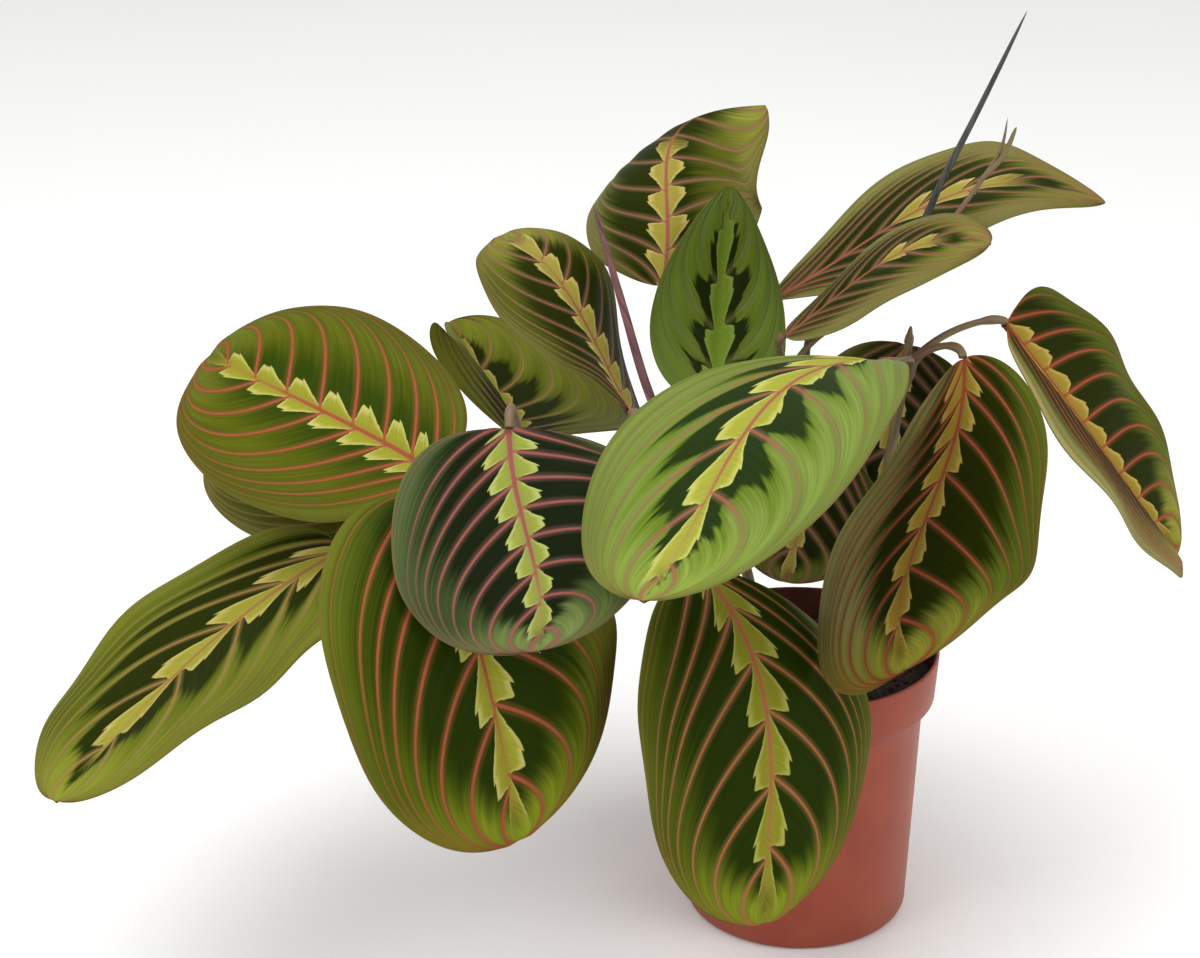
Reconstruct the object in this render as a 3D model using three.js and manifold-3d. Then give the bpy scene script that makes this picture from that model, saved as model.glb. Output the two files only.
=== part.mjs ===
// Prayer plant (maranta) growing in a plastic nursery pot.
// Millimetres, Z up, the front faces -Y, origin at the middle of the pot's flat base.
import * as THREE from 'three';
import { mergeVertices } from 'three/addons/utils/BufferGeometryUtils.js';
import Module from 'manifold-3d';

const wasm = await Module();
wasm.setup();

const UP = new THREE.Vector3(0, 0, 1);

// Pot: a thin plastic shell with a thick rim band above a slanted step
const POT_HEIGHT = 110;
const RIM_RADIUS = 52.5;
const RIM_BAND = 18;
const RIM_TAPER = 1.2;
const STEP_HEIGHT = 5.5;
const NECK_RADIUS = 46.8;
const BASE_RADIUS = 43.2;
const BASE_ROUNDING = 3;
const ROUNDING_MIDDLE = 0.3;
const POT_WALL = 1.6;
const LIP_OUTER = 0.4;
const LIP_INNER = 1.6;
const FLOOR_THICKNESS = 2;
const POT_SIDES = 64;
const DRAIN_HOLES = 8;
const DRAIN_RING = 29;
const DRAIN_RADIUS = 4;
const HOLE_SIDES = 16;
const CUT_THROUGH = 1;

// Soil: fills the pot to just under the rim, slightly mounded round the stems
const GAP = 0.3;
const SOIL_EDGE = 97;
const SOIL_MOUND = 101;
const SOIL_SLOPE = [[0.72, 2], [0.35, 3.4]];
const SOIL_SIDES = 48;
const STEM_DEPTH = 13;

// Stalks: leafy stems, leaf stalks and the swollen joint under each blade
const STEM_FOOT_RADIUS = 2.6;
const STEM_TOP_RADIUS = 1.7;
const STALK_RADIUS = 1.5;
const STALK_END_RADIUS = 1.15;
const JOINT_RADIUS = 1.75;
const JOINT_LENGTH = 10;
const STALK_SIDES = 7;
const JOINT_FADE = 0.75;
const RING_SPACING = 8;
const FEWEST_RINGS = 6;
const MOST_RINGS = 10;
const STRAIGHT_RISE = [1, 6];

// Pointed bars: rolled shoots and the flower stalk
const POINT_POWER = 0.6;
const POINT_SWELL = 0.75;
const POINT_RADIUS = 0.3;
const POINT_SIDES = 6;

// Blades: thin curved sheets with a rib below the middle
const BLADE_ROWS = 10;
const BLADE_SHARES = [-1, -0.74, -0.46, -0.2, 0, 0.2, 0.46, 0.74, 1];
const BLADE_BASE_HALF = 1.6;
const BLADE_TIP_HALF = 0.6;
const MARGIN_THICKNESS = 0.65;
const MIDDLE_THICKNESS = 0.9;
const RIB_DEPTH = 1;
const RIB_TAPER = 0.7;
const WAVE_STARTS = [2.5, 1];
const LEAST_CURL = 1e-6;
const FACING_STEP = 0.02;
const FACING_FIRST = 0.03;
const FACING_LAST = 0.95;
const WELD = 1e-4;

const potPlastic = { color: 0xb5614a, roughness: 0.55, metalness: 0 };
const pottingSoil = { color: 0x2a1d17, roughness: 1, metalness: 0 };
const stemGreen = { color: 0x5c5a2c, roughness: 0.6, metalness: 0 };
const stemPurple = { color: 0x5a3a35, roughness: 0.55, metalness: 0 };
const leafGreen = { color: 0x47651f, roughness: 0.45, metalness: 0 };
const leafBright = { color: 0x6f9b32, roughness: 0.45, metalness: 0 };
const leafDark = { color: 0x3d4f3a, roughness: 0.4, metalness: 0 };

function named(name, geometry, look, position = [0, 0, 0]) {
  const mesh = new THREE.Mesh(geometry, new THREE.MeshStandardMaterial(look));
  mesh.name = name;
  mesh.position.set(...position);
  return mesh;
}

function toSolid(geometry) {
  geometry.deleteAttribute('normal');
  geometry.deleteAttribute('uv');
  const merged = mergeVertices(geometry, WELD);
  return new wasm.Manifold(new wasm.Mesh({
    numProp: 3,
    vertProperties: new Float32Array(merged.attributes.position.array),
    triVerts: new Uint32Array(merged.index.array),
  }));
}

function toGeometry(solid) {
  const mesh = solid.getMesh();
  const geometry = new THREE.BufferGeometry();
  geometry.setAttribute('position', new THREE.BufferAttribute(mesh.vertProperties, 3));
  geometry.setIndex(new THREE.BufferAttribute(mesh.triVerts, 1));
  geometry.computeVertexNormals();
  return geometry;
}

// A lathe turns about Y, so its result is stood up on Z
function turned(profile, sides) {
  const points = profile.map(([radius, height]) => new THREE.Vector2(radius, height));
  return new THREE.LatheGeometry(points, sides).rotateX(Math.PI / 2);
}

function pillar(x, y, low, high, radius) {
  const cylinder = new THREE.CylinderGeometry(radius, radius, high - low, HOLE_SIDES);
  return toSolid(cylinder.rotateX(Math.PI / 2).translate(x, y, (low + high) / 2));
}

// Inner face of the pot, moved inwards by a clearance: [radius, height] from the floor to the rim
function potInside(clearance) {
  const bandLow = POT_HEIGHT - RIM_BAND;
  const inset = POT_WALL + clearance;
  return [
    [BASE_RADIUS - inset, FLOOR_THICKNESS + clearance],
    [NECK_RADIUS - inset, bandLow - STEP_HEIGHT],
    [RIM_RADIUS - RIM_TAPER - inset, bandLow],
    [RIM_RADIUS - inset, POT_HEIGHT - POT_WALL / 2],
  ];
}

function makePot() {
  const bandLow = POT_HEIGHT - RIM_BAND;
  const lip = POT_WALL / 2;
  const shell = turned([
    [0, 0],
    [BASE_RADIUS - BASE_ROUNDING, 0],
    [BASE_RADIUS - BASE_ROUNDING * ROUNDING_MIDDLE, BASE_ROUNDING * ROUNDING_MIDDLE],
    [BASE_RADIUS, BASE_ROUNDING],
    [NECK_RADIUS, bandLow - STEP_HEIGHT],
    [RIM_RADIUS - RIM_TAPER, bandLow],
    [RIM_RADIUS, POT_HEIGHT - lip],
    [RIM_RADIUS - lip * LIP_OUTER, POT_HEIGHT],
    [RIM_RADIUS - lip * LIP_INNER, POT_HEIGHT],
    ...potInside(0).reverse(),
    [0, FLOOR_THICKNESS],
  ], POT_SIDES);
  let pot = toSolid(shell);
  for (let i = 0; i < DRAIN_HOLES; i += 1) {
    const angle = (i + 0.5) * 2 * Math.PI / DRAIN_HOLES;
    const x = DRAIN_RING * Math.cos(angle);
    const y = DRAIN_RING * Math.sin(angle);
    const high = FLOOR_THICKNESS + CUT_THROUGH;
    pot = pot.subtract(pillar(x, y, -CUT_THROUGH, high, DRAIN_RADIUS));
  }
  return named('pot', toGeometry(pot), potPlastic);
}

// The soil's outline stops at the fill height on the rim's inner face
function makeSoil(feet) {
  const wall = potInside(GAP);
  const [bandRadius, bandLow] = wall[2];
  const [lipRadius, lipHeight] = wall[3];
  const share = (SOIL_EDGE - bandLow) / (lipHeight - bandLow);
  const edgeRadius = bandRadius + (lipRadius - bandRadius) * share;
  const profile = [
    [0, wall[0][1]],
    wall[0],
    wall[1],
    wall[2],
    [edgeRadius, SOIL_EDGE],
    ...SOIL_SLOPE.map(([part, rise]) => [edgeRadius * part, SOIL_EDGE + rise]),
    [0, SOIL_MOUND],
  ];
  let soil = toSolid(turned(profile, SOIL_SIDES));
  for (const [x, y] of feet) {
    const low = SOIL_EDGE - STEM_DEPTH - GAP;
    soil = soil.subtract(pillar(x, y, low, SOIL_MOUND + CUT_THROUGH, STEM_FOOT_RADIUS + GAP));
  }
  return named('soil', toGeometry(soil), pottingSoil);
}

// Midrib of a leaf: a cubic from base to tip. Its inner control points stand at the thirds of
// the chord, moved to the right of the heading by sway and upwards by rise.
function midribOf(leaf) {
  const base = new THREE.Vector3(...leaf.base);
  const tip = new THREE.Vector3(...leaf.tip);
  const chord = tip.clone().sub(base);
  const side = chord.clone().cross(UP).normalize();
  const lift = side.clone().cross(chord).normalize();
  const controls = [0, 1].map((i) => base.clone()
    .addScaledVector(chord, (i + 1) / 3)
    .addScaledVector(side, leaf.sway[i])
    .addScaledVector(lift, leaf.rise[i]));
  return { side, curve: new THREE.CubicBezierCurve3(base, ...controls, tip) };
}

// Half width along the leaf: s^p (1 - s)^q, scaled so that its largest value is 1
function widthShare(s, [p, q]) {
  const peak = p / (p + q);
  return (s ** p * (1 - s) ** q) / (peak ** p * (1 - peak) ** q);
}

// Upper face of a blade. s runs from base to tip and t from left edge (-1) to right edge (1).
// Each half leaves the midrib at its fold angle and bends back down by its curl, as an arc.
function bladePoint(leaf, midrib, s, t) {
  const centre = midrib.curve.getPoint(s);
  const along = midrib.curve.getTangent(s);
  const across = midrib.side.clone().addScaledVector(along, -midrib.side.dot(along)).normalize();
  const above = across.clone().cross(along);
  const turn = THREE.MathUtils.degToRad(leaf.roll + leaf.twist * (s - 0.5));
  const right = across.clone().multiplyScalar(Math.cos(turn)).addScaledVector(above, Math.sin(turn));
  const up = above.clone().multiplyScalar(Math.cos(turn)).addScaledVector(across, -Math.sin(turn));
  const half = t < 0 ? 0 : 1;
  const fold = THREE.MathUtils.degToRad(leaf.fold[half]);
  const curl = THREE.MathUtils.degToRad(leaf.curl[half]) + LEAST_CURL;
  const reach = Math.abs(t);
  const out = (Math.sin(fold) - Math.sin(fold - curl * reach)) / curl;
  const rise = (Math.cos(fold - curl * reach) - Math.cos(fold)) / curl;
  const ends = BLADE_BASE_HALF + (BLADE_TIP_HALF - BLADE_BASE_HALF) * s;
  const halfWidth = ends + (leaf.width / 2 - BLADE_BASE_HALF) * widthShare(s, leaf.shape);
  const phase = 2 * Math.PI * leaf.waves * s + WAVE_STARTS[half];
  const wave = leaf.wave * reach ** 2 * Math.sin(phase);
  return centre
    .addScaledVector(right, Math.sign(t) * halfWidth * out)
    .addScaledVector(up, halfWidth * rise + wave * widthShare(s, leaf.shape));
}

// Facing of the upper face at (s, t), from the two directions along the surface
function bladeNormal(leaf, midrib, s, t) {
  const step = FACING_STEP;
  const s0 = THREE.MathUtils.clamp(s, FACING_FIRST, FACING_LAST);
  const t0 = THREE.MathUtils.clamp(t, -FACING_LAST, FACING_LAST);
  const ahead = bladePoint(leaf, midrib, s0 + step, t0).sub(bladePoint(leaf, midrib, s0 - step, t0));
  const sideways = bladePoint(leaf, midrib, s0, t0 + step).sub(bladePoint(leaf, midrib, s0, t0 - step));
  return sideways.cross(ahead).normalize();
}

function bladeThickness(s, t) {
  const reach = Math.abs(t);
  const sheet = MIDDLE_THICKNESS + (MARGIN_THICKNESS - MIDDLE_THICKNESS) * reach;
  const rib = t === 0 ? RIB_DEPTH * (1 - RIB_TAPER * s) : 0;
  return sheet + rib;
}

// A blade is one closed sheet: an upper grid, a lower grid split into triangles alike, and a rim
function makeBlade(name, leaf) {
  const midrib = midribOf(leaf);
  const origin = new THREE.Vector3(...leaf.base);
  const columns = BLADE_SHARES.length;
  const top = [];
  const bottom = [];
  for (let i = 0; i <= BLADE_ROWS; i += 1) {
    const s = (1 - Math.cos(Math.PI * i / BLADE_ROWS)) / 2;
    for (const t of BLADE_SHARES) {
      const point = bladePoint(leaf, midrib, s, t).sub(origin);
      const normal = bladeNormal(leaf, midrib, s, t);
      top.push(point);
      bottom.push(point.clone().addScaledVector(normal, -bladeThickness(s, t)));
    }
  }
  const offset = top.length;
  const faces = [];
  const quad = (a, b, c, d) => faces.push(a, b, c, a, c, d);
  for (let i = 0; i < BLADE_ROWS; i += 1) {
    for (let j = 0; j < columns - 1; j += 1) {
      const a = i * columns + j;
      const b = a + 1;
      const c = b + columns;
      const d = a + columns;
      if (BLADE_SHARES[j] < 0) {
        faces.push(a, b, c, a, c, d);
        faces.push(offset + a, offset + c, offset + b, offset + a, offset + d, offset + c);
      } else {
        faces.push(a, b, d, b, c, d);
        faces.push(offset + a, offset + d, offset + b, offset + b, offset + d, offset + c);
      }
    }
  }
  for (let i = 0; i < BLADE_ROWS; i += 1) {
    const left = i * columns;
    const right = left + columns - 1;
    quad(left, left + columns, left + columns + offset, left + offset);
    quad(right, right + offset, right + columns + offset, right + columns);
  }
  for (let j = 0; j < columns - 1; j += 1) {
    const last = BLADE_ROWS * columns + j;
    quad(j, j + offset, j + 1 + offset, j + 1);
    quad(last, last + 1, last + 1 + offset, last + offset);
  }
  const geometry = new THREE.BufferGeometry().setFromPoints([...top, ...bottom]);
  geometry.setIndex(faces);
  geometry.computeVertexNormals();
  return named(name, geometry, leaf.look, leaf.base);
}

// A closed round bar along a curve whose radius follows the given rule of the run (0 to 1)
function taperedBar(curve, rings, radiusAt, sides) {
  const frames = curve.computeFrenetFrames(rings, false);
  const points = [];
  for (let i = 0; i <= rings; i += 1) {
    const centre = curve.getPointAt(i / rings);
    const radius = radiusAt(i / rings);
    for (let j = 0; j < sides; j += 1) {
      const angle = 2 * Math.PI * j / sides;
      points.push(centre.clone()
        .addScaledVector(frames.normals[i], radius * Math.cos(angle))
        .addScaledVector(frames.binormals[i], radius * Math.sin(angle)));
    }
  }
  const faces = [];
  for (let i = 0; i < rings; i += 1) {
    for (let j = 0; j < sides; j += 1) {
      const a = i * sides + j;
      const b = i * sides + (j + 1) % sides;
      faces.push(a, b, b + sides, a, b + sides, a + sides);
    }
  }
  const last = rings * sides;
  for (let j = 1; j < sides - 1; j += 1) {
    faces.push(0, j + 1, j);
    faces.push(last, last + j, last + j + 1);
  }
  const geometry = new THREE.BufferGeometry().setFromPoints(points);
  geometry.setIndex(faces);
  return geometry;
}

// A thin bar that swells a little and ends in a point
function pointedBar({ path, radius, rings }) {
  const points = path.map((p) => new THREE.Vector3(...p));
  const curve = new THREE.CatmullRomCurve3(points, false, 'centripetal');
  const thin = (u) => radius * (1 - u) ** POINT_POWER * (POINT_SWELL + u) + POINT_RADIUS;
  return taperedBar(curve, rings, thin, POINT_SIDES);
}

// A stem rises straight out of its soil hole, then follows its points
function stemCurve(stem) {
  const [x, y] = stem.foot;
  const points = [
    [x, y, SOIL_EDGE - STEM_DEPTH],
    [x, y, SOIL_EDGE - STEM_DEPTH / 3],
    ...STRAIGHT_RISE.map((rise) => [x, y, SOIL_MOUND + rise]),
    ...stem.path,
  ].map((p) => new THREE.Vector3(...p));
  return new THREE.CatmullRomCurve3(points, false, 'centripetal');
}

// A leaf stalk leaves the stem along it and meets the blade along the blade's own midrib.
// Its last stretch is the swollen joint.
function stalkCurve(from, along, leaf) {
  const midrib = midribOf(leaf);
  const heading = midrib.curve.getTangent(0);
  const start = midrib.curve.getPoint(0).addScaledVector(heading, -GAP);
  const reach = start.distanceTo(from);
  const leaving = from.clone().addScaledVector(along, reach * leaf.stalk[0]);
  const arriving = start.clone().addScaledVector(heading, -reach * leaf.stalk[1]);
  return new THREE.CubicBezierCurve3(from, leaving, arriving, start);
}

function makeStem(name, stem) {
  const curve = stemCurve(stem);
  const taper = (u) => STEM_FOOT_RADIUS + (STEM_TOP_RADIUS - STEM_FOOT_RADIUS) * u;
  let solid = toSolid(taperedBar(curve, stem.rings, taper, STALK_SIDES));
  for (const [leafName, share] of Object.entries(stem.leaves)) {
    const from = curve.getPointAt(share);
    const stalk = stalkCurve(from, curve.getTangentAt(share), leaves[leafName]);
    const length = stalk.getLength();
    const thin = (u) => {
      const joint = Math.max(0, 1 - (1 - u) * length / JOINT_LENGTH);
      const bulge = Math.sin(Math.PI * Math.min(joint, JOINT_FADE));
      const plain = STALK_RADIUS + (STALK_END_RADIUS - STALK_RADIUS) * u;
      return plain + (JOINT_RADIUS - plain) * bulge;
    };
    const spaced = Math.round(length / RING_SPACING);
    const rings = THREE.MathUtils.clamp(spaced, FEWEST_RINGS, MOST_RINGS);
    solid = solid.add(toSolid(taperedBar(stalk, rings, thin, STALK_SIDES)));
  }
  for (const sprig of stem.sprigs) {
    solid = solid.add(toSolid(pointedBar(sprig)));
  }
  return named(name, toGeometry(solid), stem.look);
}

// A young leaf that is still rolled up
function makeShoot(name, shoot) {
  return named(name, pointedBar(shoot), shoot.look);
}

const leaves = {
  leaf_left_round: {
    base: [-137, -35, 197], tip: [-226, 37, 215], rise: [0, 9], sway: [5, -14],
    width: 92, roll: 37, twist: 8, fold: [9, 9], curl: [14, 33], shape: [0.45, 0.45],
    wave: 0.8, waves: 2, stalk: [0.3, 0.35], look: leafGreen,
  },
  leaf_left_under: {
    base: [-142, 2, 172], tip: [-222, 60, 180], rise: [0, 9], sway: [5, -14],
    width: 88, roll: 37, twist: 8, fold: [9, 9], curl: [14, 33], shape: [0.45, 0.45],
    wave: 0.8, waves: 2, stalk: [0.3, 0.35], look: leafGreen,
  },
  leaf_far_left: {
    base: [-172, -29, 164], tip: [-265, -130, 115], rise: [0, 5], sway: [16, 2],
    width: 87, roll: -4, twist: -17, fold: [10, 10], curl: [15, 16], shape: [0.4, 0.45],
    wave: 1.6, waves: 2.5, stalk: [0.3, 0.3], look: leafGreen,
  },
  leaf_front_left: {
    base: [-134, -58, 199], tip: [-106, -116, 91], rise: [33, 27], sway: [12, 6],
    width: 117, roll: 8, twist: 5, fold: [7, 7], curl: [22, 16], shape: [0.45, 0.5],
    wave: 1.6, waves: 2, stalk: [0.3, 0.35], look: leafGreen,
  },
  leaf_dark_round: {
    base: [-109, -71, 229], tip: [-98, -143, 179], rise: [-7, -5], sway: [3, -9],
    width: 96, roll: -25, twist: -25, fold: [16, 11], curl: [52, 11], shape: [0.38, 0.45],
    wave: 1.5, waves: 2, stalk: [0.3, 0.35], look: leafDark,
  },
  leaf_bright_front: {
    base: [21, -48, 245], tip: [-64, -175, 213], rise: [30, 2], sway: [23, 2],
    width: 107, roll: -5, twist: -2, fold: [12, 2], curl: [12, 19], shape: [0.55, 0.55],
    wave: 0.8, waves: 2, stalk: [0.3, 0.3], look: leafBright,
  },
  leaf_right_big: {
    base: [53, -24, 237], tip: [27, -107, 153], rise: [-6, -10], sway: [-10, 19],
    width: 105, roll: -37, twist: 11, fold: [1, 1], curl: [20, 20], shape: [0.55, 0.4],
    wave: 1.8, waves: 2, stalk: [0.3, 0.35], look: leafGreen,
  },
  leaf_far_right: {
    base: [71, -1, 242], tip: [147, 27, 136], rise: [0, -1], sway: [10, 5],
    width: 84, roll: -36, twist: 2, fold: [19, 19], curl: [9, 12], shape: [0.28, 0.42],
    wave: 1.6, waves: 2.5, stalk: [0.45, 0.12], look: leafGreen,
  },
  leaf_over_pot: {
    base: [-40, -51, 165], tip: [-18, -98, 46], rise: [40, 24], sway: [-11, 3],
    width: 101, roll: 4, twist: -20, fold: [4, 4], curl: [31, 19], shape: [0.4, 0.5],
    wave: 1.5, waves: 2, stalk: [0.3, 0.35], look: leafGreen,
  },
  leaf_top: {
    base: [-54, 36, 243], tip: [-12, 120, 289], rise: [23, 20], sway: [-1, -45],
    width: 95, roll: -10, twist: 34, fold: [-33, -24], curl: [29, 29], shape: [0.45, 0.42],
    wave: 0.8, waves: 2, stalk: [0.3, 0.3], look: leafGreen,
  },
  leaf_young_upright: {
    base: [-34, -6, 212], tip: [-29, 36, 282], rise: [-23, -7], sway: [-3, -3],
    width: 56, roll: -31, twist: -50, fold: [9, 9], curl: [20, 21], shape: [0.45, 0.62],
    wave: 0.5, waves: 2, stalk: [0.3, 0.3], look: leafBright,
  },
  leaf_upper_left: {
    base: [-66, 2, 206], tip: [-114, 50, 259], rise: [-12, 24], sway: [14, -3],
    width: 77, roll: -16, twist: 50, fold: [5, 4], curl: [21, 27], shape: [0.42, 0.45],
    wave: 1.2, waves: 2, stalk: [0.3, 0.3], look: leafGreen,
  },
  leaf_small_left: {
    base: [-110, 19, 188], tip: [-138, 88, 209], rise: [-14, -20], sway: [17, 12],
    width: 105, roll: -32, twist: -20, fold: [25, 25], curl: [8, 6], shape: [0.43, 0.49],
    wave: 0.6, waves: 2, stalk: [0.3, 0.3], look: leafGreen,
  },
  leaf_upper_right: {
    base: [-12, 47, 234], tip: [111, 37, 276], rise: [2, 46], sway: [-19, 19],
    width: 72, roll: -9, twist: 14, fold: [5, 5], curl: [2, 16], shape: [1.05, 0.85],
    wave: 1.2, waves: 2.5, stalk: [0.3, 0.2], look: leafGreen,
  },
  leaf_lower_right: {
    base: [-10, -5, 239], tip: [61, -24, 281], rise: [3, 20], sway: [-7, -2],
    width: 54, roll: -13, twist: -8, fold: [5, 5], curl: [22, 22], shape: [0.58, 0.55],
    wave: 0.5, waves: 2, stalk: [0.5, 0.1], look: leafGreen,
  },
  leaf_shaded_right: {
    base: [38, 24, 224], tip: [31, 12, 157], rise: [6, 8], sway: [0, 0],
    width: 66, roll: 25, twist: 0, fold: [10, 10], curl: [20, 20], shape: [0.45, 0.55],
    wave: 0.6, waves: 2, stalk: [0.3, 0.3], look: leafDark,
  },
  leaf_shaded_low: {
    base: [13, 1, 190], tip: [-8, -14, 143], rise: [6, 6], sway: [0, 0],
    width: 60, roll: 45, twist: 0, fold: [10, 10], curl: [20, 20], shape: [0.45, 0.55],
    wave: 0.6, waves: 2, stalk: [0.3, 0.3], look: leafDark,
  },
  leaf_back_left: {
    base: [-38, 44, 165], tip: [-78, 128, 118], rise: [14, 8], sway: [0, 0],
    width: 76, roll: 0, twist: 0, fold: [10, 10], curl: [20, 20], shape: [0.45, 0.5],
    wave: 0.8, waves: 2, stalk: [0.3, 0.3], look: leafGreen,
  },
  leaf_back_right: {
    base: [14, 48, 168], tip: [30, 138, 120], rise: [14, 8], sway: [0, 0],
    width: 76, roll: 0, twist: 0, fold: [10, 10], curl: [20, 20], shape: [0.45, 0.5],
    wave: 0.8, waves: 2, stalk: [0.3, 0.3], look: leafGreen,
  },
};

// Leafy stems: where each stands in the soil, its way, and the share of its run where a stalk starts
const stems = {
  stem_left: {
    foot: [-24, -6], path: [[-42, -10, 128], [-73, -18, 158], [-104, -24, 176], [-126, -28, 186]],
    rings: 14, look: stemGreen, sprigs: [],
    leaves: {
      leaf_left_round: 0.93, leaf_left_under: 0.86, leaf_far_left: 0.97,
      leaf_front_left: 0.9, leaf_dark_round: 0.7, leaf_small_left: 0.62,
    },
  },
  stem_centre: {
    foot: [-18, 12], path: [[-20, 12, 130], [-29, 14, 160], [-38, 16, 184]],
    rings: 10, look: stemGreen, sprigs: [],
    leaves: { leaf_upper_left: 0.8, leaf_young_upright: 0.96, leaf_top: 0.9 },
  },
  stem_upper_right: {
    foot: [15, 20], path: [[13, 22, 140], [4, 26, 175], [-2, 30, 200]],
    rings: 10, look: stemGreen,
    sprigs: [
      {
        path: [
          [2, 27, 186], [-7, 17, 209], [-1, 1, 232], [17, -3, 249],
          [37, -2, 266], [50, 7, 278], [56, 9, 286], [67, 9, 305], [69, 9, 317],
        ],
        radius: 1.1, rings: 15,
      },
      { path: [[61, 9, 294], [68, 8, 303], [72, 7, 314]], radius: 0.9, rings: 4 },
    ],
    leaves: { leaf_upper_right: 0.95, leaf_lower_right: 0.85 },
  },
  stem_right: {
    foot: [17, -6], path: [[20, -5, 130], [28, -4, 170], [33, -7, 215], [37, -9, 232]],
    rings: 14, look: stemGreen,
    sprigs: [{ path: [[34, -7, 222], [35, -5, 233], [36, -4, 242]], radius: 1.5, rings: 4 }],
    leaves: {
      leaf_bright_front: 0.93, leaf_right_big: 0.97, leaf_far_right: 0.95,
      leaf_shaded_right: 0.72, leaf_shaded_low: 0.42,
    },
  },
  stem_front: {
    foot: [-16, -22], path: [[-20, -28, 122], [-26, -36, 140]],
    rings: 8, look: stemGreen, sprigs: [],
    leaves: { leaf_over_pot: 0.9 },
  },
  stem_back: {
    foot: [-24, 28], path: [[-25, 32, 125], [-26, 36, 145]],
    rings: 8, look: stemGreen, sprigs: [],
    leaves: { leaf_back_left: 0.85, leaf_back_right: 0.9 },
  },
};

const shoots = {
  shoot_brown: {
    path: [
      [-33, 10.5, 169], [-40, 0, 186], [-53, -15, 205],
      [-60, -18, 222], [-70, -14, 256], [-80, -8, 290],
    ],
    radius: 1.7, rings: 14, look: stemPurple,
  },
  shoot_spike: {
    path: [
      [4.4, 30, 192], [3, 30, 204], [0, 21, 221], [2, 9, 236], [15, 4, 249],
      [32, 4, 264], [41, 11, 278], [46, 9, 292], [59, 8, 322], [74, 10, 356],
    ],
    radius: 1.3, rings: 18, look: stemPurple,
  },
};

const plant = new THREE.Group();
plant.name = 'potted_prayer_plant';
plant.add(makePot());
plant.add(makeSoil(Object.values(stems).map((stem) => stem.foot)));
for (const [name, stem] of Object.entries(stems)) {
  plant.add(makeStem(name, stem));
}
for (const [name, leaf] of Object.entries(leaves)) {
  plant.add(makeBlade(name, leaf));
}
for (const [name, shoot] of Object.entries(shoots)) {
  plant.add(makeShoot(name, shoot));
}

export default plant;
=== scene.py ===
import math

import bmesh
import bpy
import numpy as np
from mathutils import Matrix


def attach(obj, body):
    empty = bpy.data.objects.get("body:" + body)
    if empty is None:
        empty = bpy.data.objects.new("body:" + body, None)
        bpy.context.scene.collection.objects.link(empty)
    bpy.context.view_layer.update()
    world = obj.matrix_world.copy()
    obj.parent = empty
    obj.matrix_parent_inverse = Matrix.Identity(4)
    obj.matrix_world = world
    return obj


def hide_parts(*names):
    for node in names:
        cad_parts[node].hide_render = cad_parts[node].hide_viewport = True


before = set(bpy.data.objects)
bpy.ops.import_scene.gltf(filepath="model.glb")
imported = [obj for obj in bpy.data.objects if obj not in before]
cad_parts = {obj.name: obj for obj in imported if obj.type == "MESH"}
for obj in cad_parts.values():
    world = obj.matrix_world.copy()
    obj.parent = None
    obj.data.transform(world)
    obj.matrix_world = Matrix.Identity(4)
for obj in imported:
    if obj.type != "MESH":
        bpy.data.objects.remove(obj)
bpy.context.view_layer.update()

# Camera and room: a product shot from a little above. A long lens looks down on the plant, which
# stands on a pale floor between a large soft light at the left, a weaker one at the right and
# one overhead. In metres, degrees and watts; the lens and the sensor in millimetres.
CAMERA_PLACE = (-0.0775, -1.0494, 0.6334)
LOOKS_DOWN = 23.4
LENS = 91.65
SENSOR_WIDTH = 36.0
ROOM_LIGHT = 0.7
LIGHTS_AIM_AT = (-0.06, 0.0, 0.15)
SOFT_LIGHTS = {
    "light_left": dict(place=(-0.9, -0.9, 1.1), width=1.0, power=13.0),
    "light_right": dict(place=(1.1, -0.7, 0.8), width=0.9, power=6.0),
    "light_above": dict(place=(0.0, 0.2, 1.5), width=1.1, power=10.0),
}
FLOOR_REACH = 6.0

camera_data = bpy.data.cameras.new("camera")
camera_data.lens = LENS
camera_data.sensor_width = SENSOR_WIDTH
camera = bpy.data.objects.new("camera", camera_data)
camera.location = CAMERA_PLACE
camera.rotation_euler = (math.radians(90.0 - LOOKS_DOWN), 0.0, 0.0)
bpy.context.collection.objects.link(camera)
bpy.context.scene.camera = camera

room = bpy.data.worlds.new("room")
room.use_nodes = True
room.node_tree.nodes["Background"].inputs["Color"].default_value = (1.0, 1.0, 1.0, 1.0)
room.node_tree.nodes["Background"].inputs["Strength"].default_value = ROOM_LIGHT
bpy.context.scene.world = room
bpy.context.scene.view_settings.view_transform = "Standard"

for light_name, lamp in SOFT_LIGHTS.items():
    light_data = bpy.data.lights.new(light_name, "AREA")
    light_data.size = lamp["width"]
    light_data.energy = lamp["power"]
    light = bpy.data.objects.new(light_name, light_data)
    light.location = lamp["place"]
    aim = np.array(LIGHTS_AIM_AT) - np.array(lamp["place"])
    tip_up = math.atan2(math.hypot(aim[0], aim[1]), -aim[2])
    light.rotation_euler = (tip_up, 0.0, math.atan2(aim[1], aim[0]) - math.pi / 2)
    bpy.context.collection.objects.link(light)


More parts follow.
